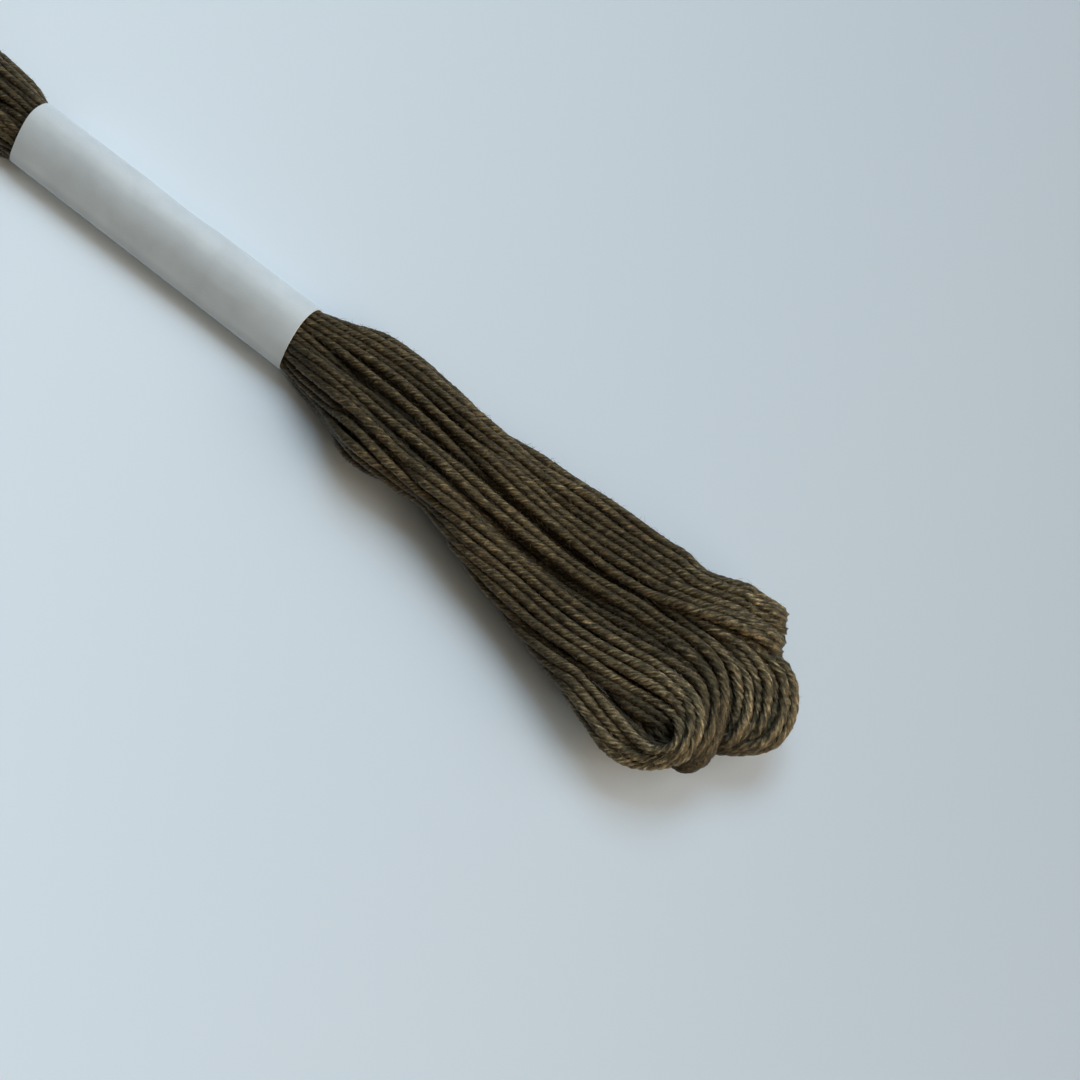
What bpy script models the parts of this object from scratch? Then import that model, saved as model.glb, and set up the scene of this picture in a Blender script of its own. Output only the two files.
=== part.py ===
"""Hank of embroidery floss: a long flat loop of floss drawn in at its waist by a paper band.

The hank lies along X on the plane z = 0, with the end whose loops are spread open at +X.
It rests on its closed end and its band, and its open end stands a little clear of the table.
Lengths in the tables are millimetres, in the hank's own frame: `along` is measured from
the middle of the band towards +X, `across` towards +Y and `rise` up from the table.
"""

import math
from collections import namedtuple

import bmesh
import bpy
from mathutils import Vector

MM = 0.001

# The paper band: its outside, and the gap left between it and the floss.
BAND_LENGTH = 37.8
BAND_WIDTH = 7.4
BAND_HEIGHT = 5.9
BAND_ACROSS = -0.2
BAND_SHEET = 1.0
BAND_GAP = 0.3
BAND_SQUARENESS = 2.3
BAND_SIDES = 32

# How finely the wound form is shaped.
BODY_SIDES = 24
LOCK_SIDES = 16
RING_SPACING = 2.0
END_RINGS = 3

# How far the cutting shapes reach past what they cut away.
CUT_BEYOND = 2.0
TABLE_BLOCK = (200.0, 60.0, 12.0)

FLOSS_COLOUR = (0.068, 0.046, 0.023, 1.0)
FLOSS_ROUGHNESS = 0.85
PAPER_COLOUR = (0.52, 0.56, 0.57, 1.0)
PAPER_ROUGHNESS = 0.6

Section = namedtuple("Section", "along across rise width height")

# The floss between the two looped ends: fanned, drawn in at the band, and fanned again.
BODY = (
    Section(-70.6, -1.4, 0.6, 7.0, 1.8),
    Section(-67.0, -1.8, 0.6, 11.0, 2.0),
    Section(-60.0, -1.8, 0.9, 14.0, 2.6),
    Section(-46.0, -1.4, 1.1, 12.8, 3.1),
    Section(-35.5, -0.6, 1.5, 11.0, 3.9),
    Section(-28.5, -0.4, 1.9, 10.0, 4.6),
    Section(-23.5, -0.2, 2.6, 8.7, 5.1),
    Section(-21.0, -0.2, 2.85, 8.1, 5.3),
    Section(-19.5, -0.2, 2.95, 7.2, 5.5),
    Section(0.0, -0.2, 2.95, 6.8, 5.4),
    Section(19.5, -0.2, 2.95, 7.2, 5.5),
    Section(21.0, 0.1, 3.0, 8.8, 5.2),
    Section(23.7, 0.2, 3.0, 10.3, 4.9),
    Section(29.0, -0.4, 3.2, 12.4, 3.9),
    Section(36.0, -0.7, 3.6, 12.0, 3.0),
    Section(50.2, -1.9, 3.8, 14.6, 2.2),
    Section(64.3, -3.5, 3.8, 18.2, 1.8),
    Section(70.9, -3.3, 3.8, 16.4, 1.8),
    Section(73.7, -3.0, 3.7, 12.0, 1.7),
    Section(76.3, -3.0, 3.7, 7.0, 1.6),
)

# Each lock of the open end, from where it leaves the body to where its loops turn.
UPPER_LOCK = (
    Section(23.3, 2.4, 2.9, 4.8, 4.3),
    Section(29.3, 2.9, 3.3, 5.9, 4.0),
    Section(40.1, 2.2, 4.0, 5.2, 3.2),
    Section(49.7, 2.3, 4.1, 6.3, 2.9),
    Section(59.3, 2.7, 4.2, 6.7, 2.8),
    Section(65.3, 3.3, 4.3, 5.5, 2.8),
    Section(70.0, 4.8, 4.4, 4.6, 2.9),
    Section(73.4, 5.3, 4.3, 4.0, 2.6),
)
MIDDLE_LOCK = (
    Section(49.8, -1.2, 3.4, 2.4, 1.5),
    Section(59.8, -0.9, 3.9, 3.8, 2.3),
    Section(69.3, 0.7, 4.3, 5.2, 2.6),
    Section(73.7, 0.9, 4.3, 5.8, 2.6),
    Section(76.8, -0.6, 4.3, 6.4, 2.5),
    Section(77.9, -3.2, 4.1, 6.0, 2.3),
    Section(77.2, -5.7, 3.9, 4.6, 1.8),
    Section(75.0, -7.5, 3.6, 3.2, 1.2),
)
NESTED_LOCK = (
    Section(23.3, -2.2, 2.9, 5.0, 4.3),
    Section(29.3, -3.2, 3.2, 6.6, 3.9),
    Section(40.2, -3.6, 4.0, 6.6, 3.1),
    Section(50.2, -4.5, 4.1, 7.4, 2.8),
    Section(59.8, -5.0, 4.2, 7.8, 2.7),
    Section(66.8, -4.6, 4.3, 7.6, 2.7),
    Section(70.8, -4.9, 4.4, 7.0, 2.9),
    Section(73.1, -6.6, 4.4, 6.2, 2.8),
    Section(74.0, -8.9, 4.0, 4.8, 2.1),
    Section(73.3, -11.1, 3.7, 3.4, 1.4),
)
RETURN_LOCK = (
    Section(36.1, -4.8, 2.9, 2.6, 1.7),
    Section(50.8, -7.3, 3.6, 4.2, 1.9),
    Section(58.8, -8.9, 3.7, 4.9, 1.9),
    Section(64.8, -10.4, 3.9, 5.3, 1.9),
    Section(69.4, -11.3, 4.0, 5.5, 1.9),
    Section(72.0, -11.5, 3.9, 4.8, 1.7),
)

# The locks of the other end, which lies more closed.
FAR_UPPER_LOCK = (
    Section(-23.2, 1.9, 2.5, 4.2, 4.3),
    Section(-30.0, 2.5, 1.9, 5.0, 4.3),
    Section(-44.0, 2.7, 1.5, 5.8, 3.8),
    Section(-58.0, 3.2, 1.4, 6.6, 3.6),
    Section(-66.0, 3.0, 1.4, 6.8, 3.7),
    Section(-71.2, 1.2, 1.3, 6.0, 3.5),
    Section(-72.8, -1.6, 1.0, 4.8, 2.9),
)
FAR_LOWER_LOCK = (
    Section(-23.2, -2.1, 2.5, 4.2, 4.3),
    Section(-30.0, -2.7, 1.9, 5.4, 4.3),
    Section(-44.0, -3.4, 1.4, 6.4, 3.7),
    Section(-58.0, -4.6, 1.4, 6.8, 3.5),
    Section(-66.0, -5.2, 1.4, 6.4, 3.6),
    Section(-71.0, -5.0, 1.2, 5.4, 3.2),
)
FAR_RETURN_LOCK = (
    Section(-38.0, -4.0, 0.8, 2.6, 2.2),
    Section(-52.0, -6.6, 0.9, 4.2, 2.6),
    Section(-62.0, -8.0, 0.9, 4.6, 2.7),
    Section(-68.0, -7.9, 0.8, 4.4, 2.4),
)


def clear_scene():
    for old in list(bpy.data.objects):
        bpy.data.objects.remove(old)


def new_collection(name):
    collection = bpy.data.collections.new(name)
    bpy.context.scene.collection.children.link(collection)
    return collection


def finish_material(name, colour, roughness):
    material = bpy.data.materials.new(name)
    material.use_nodes = True
    shader = material.node_tree.nodes["Principled BSDF"]
    shader.inputs["Base Color"].default_value = colour
    shader.inputs["Roughness"].default_value = roughness
    shader.inputs["Metallic"].default_value = 0.0
    return material


def blend_sections(before, first, second, after, share):
    """A section between first and second, on a smooth curve through all four."""
    values = []
    for a, b, c, d in zip(before, first, second, after):
        slope = (c - a) / 2
        next_slope = (d - b) / 2
        bend = 3 * (c - b) - 2 * slope - next_slope
        turn = 2 * (b - c) + slope + next_slope
        values.append(b + slope * share + bend * share**2 + turn * share**3)
    return Section(*values)


def sections_along(table):
    """The table's sections with evenly spaced ones worked out between them."""
    sections = [table[0]]
    for row in range(len(table) - 1):
        first, second = table[row], table[row + 1]
        before = table[max(row - 1, 0)]
        after = table[min(row + 2, len(table) - 1)]
        reach = math.hypot(second.along - first.along, second.across - first.across)
        steps = max(1, round(reach / RING_SPACING))
        for step in range(1, steps + 1):
            sections.append(blend_sections(before, first, second, after, step / steps))
    return sections


def heading_at(sections, index):
    """The level direction in which the sections run at one of them."""
    ahead = sections[min(index + 1, len(sections) - 1)]
    behind = sections[max(index - 1, 0)]
    return Vector((ahead.along - behind.along, ahead.across - behind.across, 0)).normalized()


def ring_points(centre, heading, width, height, sides):
    """An upright ellipse of points square to the heading."""
    side = Vector((-heading.y, heading.x, 0))
    points = []
    for index in range(sides):
        turn = math.tau * index / sides
        point = centre + side * (width / 2 * math.cos(turn))
        point.z += height / 2 * math.sin(turn)
        points.append(point * MM)
    return points


def round_end(section, heading, sides):
    """Rings that shrink past a section, so that a lock ends round as loops do."""
    rings = []
    reach = section.height / 2
    for step in range(1, END_RINGS + 1):
        turn = math.radians(90) * step / (END_RINGS + 1)
        centre = Vector((section.along, section.across, section.rise)) + heading * reach * math.sin(turn)
        shrink = math.cos(turn)
        rings.append(ring_points(centre, heading, section.width * shrink, section.height * shrink, sides))
    return rings


def loft(name, table, sides, collection):
    """A closed solid through a table's sections, with both ends rounded."""
    sections = sections_along(table)
    rings = []
    for index, section in enumerate(sections):
        centre = Vector((section.along, section.across, section.rise))
        heading = heading_at(sections, index)
        rings.append(ring_points(centre, heading, section.width, section.height, sides))
    last_rings = round_end(sections[-1], heading_at(sections, len(sections) - 1), sides)
    first_rings = round_end(sections[0], -heading_at(sections, 0), sides)
    # The first end's rings run the other way round, seen from their own heading.
    mirrored = [[ring[(sides // 2 - index) % sides] for index in range(sides)] for ring in first_rings]
    rings = mirrored[::-1] + rings + last_rings
    points = [point for ring in rings for point in ring]
    faces = [tuple(range(sides)), tuple(range(len(points) - 1, len(points) - sides - 1, -1))]
    for row in range(len(rings) - 1):
        for index in range(sides):
            following = (index + 1) % sides
            low = row * sides
            high = low + sides
            faces.append((low + index, high + index, high + following, low + following))
    mesh = bpy.data.meshes.new(name)
    mesh.from_pydata(points, [], faces)
    solid = bpy.data.objects.new(name, mesh)
    collection.objects.link(solid)
    return solid


def flattened(cosine_or_sine):
    """One coordinate on a unit circle, moved so that the circle has flatter sides."""
    return math.copysign(abs(cosine_or_sine) ** (2 / BAND_SQUARENESS), cosine_or_sine)


def band_sleeve(name, length, inward, outward, collection):
    """A sleeve round the waist, thickened inward and outward from the band's outside."""
    shape = bmesh.new()
    rim = bmesh.ops.create_circle(shape, segments=BAND_SIDES, radius=1.0)["verts"]
    for vertex in rim:
        across = BAND_ACROSS + BAND_WIDTH / 2 * flattened(vertex.co.x)
        rise = BAND_HEIGHT / 2 + BAND_HEIGHT / 2 * flattened(vertex.co.y)
        vertex.co = Vector((-length / 2, across, rise)) * MM
    drawn_out = bmesh.ops.extrude_edge_only(shape, edges=shape.edges[:])["geom"]
    far_rim = [item for item in drawn_out if isinstance(item, bmesh.types.BMVert)]
    bmesh.ops.translate(shape, vec=(length * MM, 0, 0), verts=far_rim)
    bmesh.ops.recalc_face_normals(shape, faces=shape.faces[:])
    mesh = bpy.data.meshes.new(name)
    shape.to_mesh(mesh)
    shape.free()
    sleeve = bpy.data.objects.new(name, mesh)
    collection.objects.link(sleeve)
    wall = sleeve.modifiers.new("wall", "SOLIDIFY")
    wall.thickness = (inward + outward) * MM
    wall.offset = (outward - inward) / (outward + inward)
    wall.use_even_offset = True
    return sleeve


def combine(target, other, operation):
    other.hide_render = True
    other.display_type = "WIRE"
    boolean = target.modifiers.new(f"{operation.lower()} {other.name}", "BOOLEAN")
    boolean.operation = operation
    boolean.solver = "EXACT"
    boolean.object = other


def block_below_table(collection):
    """A block under z = 0, which leaves the hank flat where it lies on the table."""
    size = Vector(TABLE_BLOCK) * MM
    bpy.ops.mesh.primitive_cube_add(size=1.0, location=(0, 0, -size.z / 2), scale=size)
    block = bpy.context.object
    block.name = "block_below_table"
    for holder in list(block.users_collection):
        holder.objects.unlink(block)
    collection.objects.link(block)
    return block


def make_hank(parts, cutters):
    hank = loft("floss_hank", BODY, BODY_SIDES, parts)
    locks = {
        "upper_lock": UPPER_LOCK,
        "middle_lock": MIDDLE_LOCK,
        "nested_lock": NESTED_LOCK,
        "return_lock": RETURN_LOCK,
        "far_upper_lock": FAR_UPPER_LOCK,
        "far_lower_lock": FAR_LOWER_LOCK,
        "far_return_lock": FAR_RETURN_LOCK,
    }
    for name, table in locks.items():
        combine(hank, loft(name, table, LOCK_SIDES, cutters), "UNION")
    kept_clear = BAND_LENGTH + 2 * BAND_GAP
    clearance = band_sleeve("band_clearance", kept_clear, BAND_SHEET + BAND_GAP, CUT_BEYOND, cutters)
    combine(hank, clearance, "DIFFERENCE")
    combine(hank, block_below_table(cutters), "DIFFERENCE")
    hank.data.materials.append(finish_material("floss", FLOSS_COLOUR, FLOSS_ROUGHNESS))
    return hank


def make_band(parts):
    band = band_sleeve("paper_band", BAND_LENGTH, BAND_SHEET, 0.0, parts)
    band.data.materials.append(finish_material("paper", PAPER_COLOUR, PAPER_ROUGHNESS))
    return band


def centre_on_origin(pieces):
    """Stands the pieces with the middle of their common box over the origin."""
    bpy.context.view_layer.update()
    graph = bpy.context.evaluated_depsgraph_get()
    corners = [point.co.copy() for piece in pieces for point in piece.evaluated_get(graph).data.vertices]
    lowest = [min(corner[axis] for corner in corners) for axis in range(3)]
    highest = [max(corner[axis] for corner in corners) for axis in range(3)]
    holder = bpy.data.objects.new("hank_frame", None)
    bpy.context.scene.collection.objects.link(holder)
    holder.location = (-(lowest[0] + highest[0]) / 2, -(lowest[1] + highest[1]) / 2, -lowest[2])
    for made in list(bpy.data.objects):
        if made is not holder:
            made.parent = holder


clear_scene()
parts_collection = new_collection("hank_of_embroidery_floss")
cutters_collection = new_collection("cutters")
floss_hank = make_hank(parts_collection, cutters_collection)
paper_band = make_band(parts_collection)
centre_on_origin((floss_hank, paper_band))
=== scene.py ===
import math
from collections import namedtuple

import bpy
import numpy as np
from mathutils import Matrix, Vector, kdtree


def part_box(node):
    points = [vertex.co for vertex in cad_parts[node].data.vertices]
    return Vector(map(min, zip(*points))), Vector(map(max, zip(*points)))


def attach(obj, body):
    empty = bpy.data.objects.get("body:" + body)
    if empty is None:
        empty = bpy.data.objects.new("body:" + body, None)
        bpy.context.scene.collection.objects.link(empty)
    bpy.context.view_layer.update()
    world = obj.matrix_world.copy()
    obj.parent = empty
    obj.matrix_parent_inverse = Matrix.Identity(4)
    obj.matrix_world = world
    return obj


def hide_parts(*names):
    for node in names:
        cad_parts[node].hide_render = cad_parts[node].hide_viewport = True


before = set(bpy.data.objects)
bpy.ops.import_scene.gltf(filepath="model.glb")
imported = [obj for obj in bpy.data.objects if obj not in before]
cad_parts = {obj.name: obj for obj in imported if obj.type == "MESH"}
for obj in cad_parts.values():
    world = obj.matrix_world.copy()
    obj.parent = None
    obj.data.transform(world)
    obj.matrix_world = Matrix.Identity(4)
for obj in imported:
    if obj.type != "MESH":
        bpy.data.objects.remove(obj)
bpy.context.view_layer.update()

# ---------------------------------------------------------------------------
# The view. The hank is seen from above its open end, lying slantwise across the frame,
# so the camera is set in the hank's own lengths: millimetres along it from the middle of
# the paper band, across it, and up from the table.

MM = 0.001
# The band's middle lies this far to the side of the line that the hank follows.
BAND_OFF_LINE = -0.2
band_low, band_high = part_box("paper_band")
hank_middle = np.array((
    (band_low.x + band_high.x) / 2 / MM,
    (band_low.y + band_high.y) / 2 / MM - BAND_OFF_LINE,
    0.0,
))

VIEW_CENTRE = Vector((49.87, -0.46, 0.0))
VIEW_AZIMUTH = -48.0
VIEW_ELEVATION = 66.0
VIEW_ROLL = -1.9
VIEW_DISTANCE = 206.4
VIEW_ANGLE = 28.0
SENSOR_WIDTH = 36.0


def direction(azimuth, elevation):
    """A unit arrow, in degrees round from the hank's length and up from the table."""
    sweep, tilt = math.radians(azimuth), math.radians(elevation)
    return Vector((math.cos(tilt) * math.cos(sweep), math.cos(tilt) * math.sin(sweep), math.sin(tilt)))


def placed(name, data):
    """A new object in the scene, made of the data."""
    made = bpy.data.objects.new(name, data)
    bpy.context.scene.collection.objects.link(made)
    return made


towards_camera = direction(VIEW_AZIMUTH, VIEW_ELEVATION)
camera = placed("camera", bpy.data.cameras.new("camera"))
camera.data.sensor_width = SENSOR_WIDTH
camera.data.lens = SENSOR_WIDTH / 2 / math.tan(math.radians(VIEW_ANGLE) / 2)
camera.data.clip_start = 0.01
camera.location = (VIEW_CENTRE + towards_camera * VIEW_DISTANCE + Vector(hank_middle)) * MM
level_look = (-towards_camera).to_track_quat("-Z", "Y")
camera.rotation_mode = "QUATERNION"
camera.rotation_quaternion = level_look @ Matrix.Rotation(math.radians(VIEW_ROLL), 3, "Z").to_quaternion()
bpy.context.scene.camera = camera
bpy.context.scene.view_settings.view_transform = "Standard"

# ---------------------------------------------------------------------------
# The table: a sheet of matt white card, larger than the view. Card is pressed from paper
# pulp, so it looks even and has hardly any shine. Its colour carries painted light that
# falls off slowly from one side of the view to the other.

CARD_SIZE = 3.0
CARD_WHITE = "#D3DAE0"
CARD_FALLS_ALONG = Vector((0.79, 0.61, 0.0))
CARD_FALL_HALF = 0.055
CARD_PAINTED_LIGHT_TONES = (1.20, 0.81)
MULTIPLY = {"data_type": "RGBA", "blend_type": "MULTIPLY"}


def linear(hex_colour):
    """An sRGB hex colour as linear red, green, blue and alpha."""
    parts = [int(hex_colour[i:i + 2], 16) / 255 for i in (1, 3, 5)]
    return tuple(c / 12.92 if c <= 0.04045 else ((c + 0.055) / 1.055) ** 2.4 for c in parts) + (1.0,)


def new_material(name, roughness):
    """A material with a Principled shader, its node tree and that shader's inputs."""
    material = bpy.data.materials.new(name)
    material.use_nodes = True
    look = material.node_tree.nodes["Principled BSDF"].inputs
    look["Roughness"].default_value = roughness
    return material, material.node_tree, look


def node(tree, kind, settings=None, inputs=None, output=0):
    """Adds a node with its settings and its inputs' values or links, and gives one output."""
    made = tree.nodes.new("ShaderNode" + kind)
    for name, value in (settings or {}).items():
        setattr(made, name, value)
    for name, value in (inputs or {}).items():
        if isinstance(value, bpy.types.NodeSocket):
            tree.links.new(value, made.inputs[name])
        else:
            made.inputs[name].default_value = value
    return made.outputs[output]


bpy.ops.mesh.primitive_plane_add(size=CARD_SIZE, location=(0, 0, 0))
table_top = bpy.context.object
table_top.name = "table_top"
card_material, card, card_look = new_material("matt_white_card", roughness=0.9)
card_look["Specular IOR Level"].default_value = 0.2
card_place = node(card, "TexCoord", output="Object")
card_run = node(
    card, "VectorMath", {"operation": "DOT_PRODUCT"},
    {0: card_place, 1: CARD_FALLS_ALONG}, "Value",
)
card_middle = (VIEW_CENTRE + Vector(hank_middle)).dot(CARD_FALLS_ALONG) * MM
# Painted light: the card's colour is brighter towards one side of the view and darker towards the other.
card_painted_light = node(card, "MapRange", None, {
    "Value": card_run,
    "From Min": card_middle - CARD_FALL_HALF, "From Max": card_middle + CARD_FALL_HALF,
    "To Min": CARD_PAINTED_LIGHT_TONES[0], "To Max": CARD_PAINTED_LIGHT_TONES[1],
}, "Result")
card_colour = node(card, "Mix", MULTIPLY, {0: 1.0, 6: linear(CARD_WHITE), 7: card_painted_light}, 2)
card.links.new(card_colour, card_look["Base Color"])
table_top.data.materials.append(card_material)

# ---------------------------------------------------------------------------
# The light: a broad cool window beyond the hank's high side, two warmer soft lights low
# beyond its open end, and a dim warm room all round. Each lamp is a square that faces the
# middle of the view.

LAMP_DISTANCE = 1.6
Lamp = namedtuple("Lamp", "name azimuth elevation size watts colour")
LAMPS = (
    Lamp("cool_window", 105, 55, 0.95, 11.05, (0.69, 0.96, 1.19)),
    Lamp("warm_room", 30, 38, 1.15, 14.2, (0.96, 0.98, 1.0)),
    Lamp("low_lamp", 0, 25, 1.10, 15.0, (1.15, 0.98, 0.73)),
)
DIM_ROOM = (1.0, 0.92, 0.78, 1.0)
DIM_ROOM_STRENGTH = 0.07

for lamp in LAMPS:
    light = bpy.data.lights.new(lamp.name, "AREA")
    light.size = lamp.size
    light.energy = lamp.watts
    light.color = lamp.colour
    holder = placed(lamp.name, light)
    towards = direction(lamp.azimuth, lamp.elevation)
    holder.location = (VIEW_CENTRE + Vector(hank_middle)) * MM + towards * LAMP_DISTANCE
    holder.rotation_euler = (-towards).to_track_quat("-Z", "Y").to_euler()
sky = bpy.data.worlds.new("dim_room")
sky.use_nodes = True
sky.node_tree.nodes["Background"].inputs["Color"].default_value = DIM_ROOM
sky.node_tree.nodes["Background"].inputs["Strength"].default_value = DIM_ROOM_STRENGTH
bpy.context.scene.world = sky

# ---------------------------------------------------------------------------
# The floss: eight metres of six-strand cotton wound into twenty-six long turns, drawn
# tight through the band and falling into locks of loops at both ends. Each turn passes
# twice through the band, and its passes lie beside and over one another.

# The fan's outline at stations along it: its two edges, and the height of its top strands.
Station = namedtuple("Station", "along high_edge low_edge top")
FAN = [Station(*row) for row in (
    (20, 4.3, -3.45, 4.9), (25, 6.2, -3.95, 4.4), (30, 6.55, -6.05, 4.1), (35, 6, -5.45, 3.9),
    (40, 5.35, -5.05, 3.7), (45, 6, -6.95, 3.4), (50, 6.4, -8.15, 3.2), (56, 7.2, -9.7, 2.9),
    (62, 7.45, -11.35, 2.7),
)]
fan_along = [station.along for station in FAN]
FAN_STARTS, FAN_ENDS = fan_along[0], fan_along[-1]

# The passes that show on top: where each lies across the fan at those stations, counted
# on round its edges, and how deep it has sunk below its neighbours there.
TopPass = namedtuple("TopPass", "turn way across sunk")
ON_TOP = (0.0,) * len(FAN)
TOP_PASSES = [TopPass(*row) for row in (
    (0, "out", (4.3, 5.7, 6.3, 6.1, 5.5, 5.3, 5.6, 6, 6.5), ON_TOP),
    (1, "out", (2.9, 4.4, 4.9, 4.8, 4.6, 4.5, 4.7, 5.1, 5.5), ON_TOP),
    (2, "out", (2.3, 3.5, 4.1, 3.9, 3.5, 3.5, 3.8, 4, 4.6), ON_TOP),
    (3, "out", (1.8, 2.9, 3.5, 3.4, 3.2, 3, 3.1, 3.2, 3.7), (0, 0.3, 0.6, 0.5, 0.3, 0.4, 0.2, 0, 0)),
    (4, "out", (1.6, 2.8, 3.3, 3, 2.6, 2.2, 2.1, 2.2, 3), (0.3, 1.1, 1.8, 1.6, 0.9, 0, 0, 0, 0)),
    (5, "out", (1.5, 2.2, 2.3, 2, 1.9, 1.6, 1.3, 1.3, 2.1), ON_TOP),
    (6, "out", (1.5, 1.9, 1.9, 1.7, 1.5, 1, 0.5, 0.3, 1.1), (1, 1.2, 1.4, 1.4, 0.8, 0, 0, 0, 0)),
    (7, "out", (0.9, 1, 0.8, 0.6, 0.5, 0.4, 0.3, 0.1, 0.7), (0, 0, 0, 0.1, 1.2, 1.8, 1.9, 1.8, 1.5)),
    (8, "out", (-0.2, 0, 0.2, 0.2, 0.1, 0.1, -0.1, 0, 0.9), (0, 1, 1.8, 2, 1.9, 1.8, 1.8, 1.7, 1.3)),
    (15, "out", (-1.1, -0.6, -0.3, -0.7, -0.9, -1.1, -1.1, -1.2, -0.5),
     (0.1, 0.8, 1, 0.5, 0, 0, 0.3, 0.2, 0)),
    (16, "out", (-1.2, -1.2, -1.2, -1.6, -1.8, -2.1, -2.2, -1.8, -1.1),
     (0.1, 0, 0.1, 0, 0, 0, 0, 0, 0.1)),
    (17, "out", (-2, -2, -2.4, -2.5, -2.6, -2.6, -2.7, -2.3, -1.7),
     (0, 0.1, 0.3, 0.9, 1.1, 1.6, 1.8, 1.5, 0.9)),
    (18, "out", (-2.8, -2.6, -3, -3.3, -3.3, -3.3, -3.5, -3, -2.6),
     (0, 0, 0, 0, 0.2, 0.5, 1.2, 1.5, 1)),
    (19, "out", (-3.2, -3.1, -3.4, -3.7, -3.9, -4.2, -4.4, -4.3, -4.1),
     (0.2, 0.7, 1.1, 0.9, 0.2, 0, 0, 0, 0)),
    (20, "out", (-3.7, -3.7, -4.2, -4.5, -4.7, -4.8, -5, -4.9, -4.6),
     (0, 0, 0.1, 0.4, 0.4, 0.2, 0.1, 0.1, 0)),
    (21, "out", (-4.4, -4.5, -5.3, -5.4, -5.6, -6, -6, -6.2, -5.8), (0, 0, 0, 0.1, 0.1, 0, 0, 0, 0)),
    (22, "out", (-4.9, -5.2, -6.1, -6.2, -6.4, -6.6, -6.7, -7.1, -6.7),
     (0, 0, 0, 0, 0, 0.3, 0.1, 0, 0)),
    (23, "out", (-5.4, -5.7, -6.6, -6.7, -6.8, -7.1, -7.6, -8.1, -7.7), ON_TOP),
    (24, "out", (-6, -6.4, -7.2, -7.4, -7.5, -7.8, -8.3, -8.7, -8.3),
     (0, 0, 0, 0, 0, 0, 0.4, 1.2, 1.2)),
    (23, "back", (-6.8, -7.1, -7.9, -8.1, -8.3, -8.6, -9, -9.5, -9.3), ON_TOP),
    (22, "back", (-7.5, -7.8, -8.6, -8.9, -9, -9.3, -9.7, -10.1, -10), ON_TOP),
    (21, "back", (-8.2, -8.6, -9.4, -9.6, -9.7, -10, -10.4, -10.7, -10.7), ON_TOP),
    (20, "back", (-9, -9.3, -10.1, -10.3, -10.4, -10.7, -11.1, -11.4, -11.3), ON_TOP),
)]

# The passes underneath: where each lies across at 62 mm, and how high its middle is.
LowPass = namedtuple("LowPass", "turn way across height")
LOW_PASSES = [LowPass(*row) for row in (
    (0, "back", 6, 0.5), (1, "back", 5.5, 1.3), (2, "back", 5, 0.5), (3, "back", 4.6, 1.3),
    (4, "back", 4.1, 0.5), (5, "back", 3.7, 1.4), (6, "back", 3.1, 0.5), (9, "out", 1.6, 0.9),
    (10, "out", 2, 0.5), (11, "out", 2.4, 1.4), (12, "out", 2.7, 0.5), (13, "out", 3.1, 1.4),
    (14, "out", 3.5, 1.2), (7, "back", 0.2, 0.5), (8, "back", -0.6, 0.5),
    (9, "back", -1.4, 0.5), (10, "back", -2.2, 0.5), (11, "back", -3, 0.5),
    (12, "back", -3.8, 0.5), (13, "back", -4.4, 1.4), (14, "back", -5.4, 1.4),
    (19, "back", -4.8, 0.5), (18, "back", -5.8, 0.5), (17, "back", -6.8, 0.5),
    (16, "back", -6.4, 1.4), (15, "back", -7.4, 1.4), (25, "back", -8.3, 0.6),
    (25, "out", -8.4, 1.5), (24, "back", -10.2, 0.9),
)]

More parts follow.
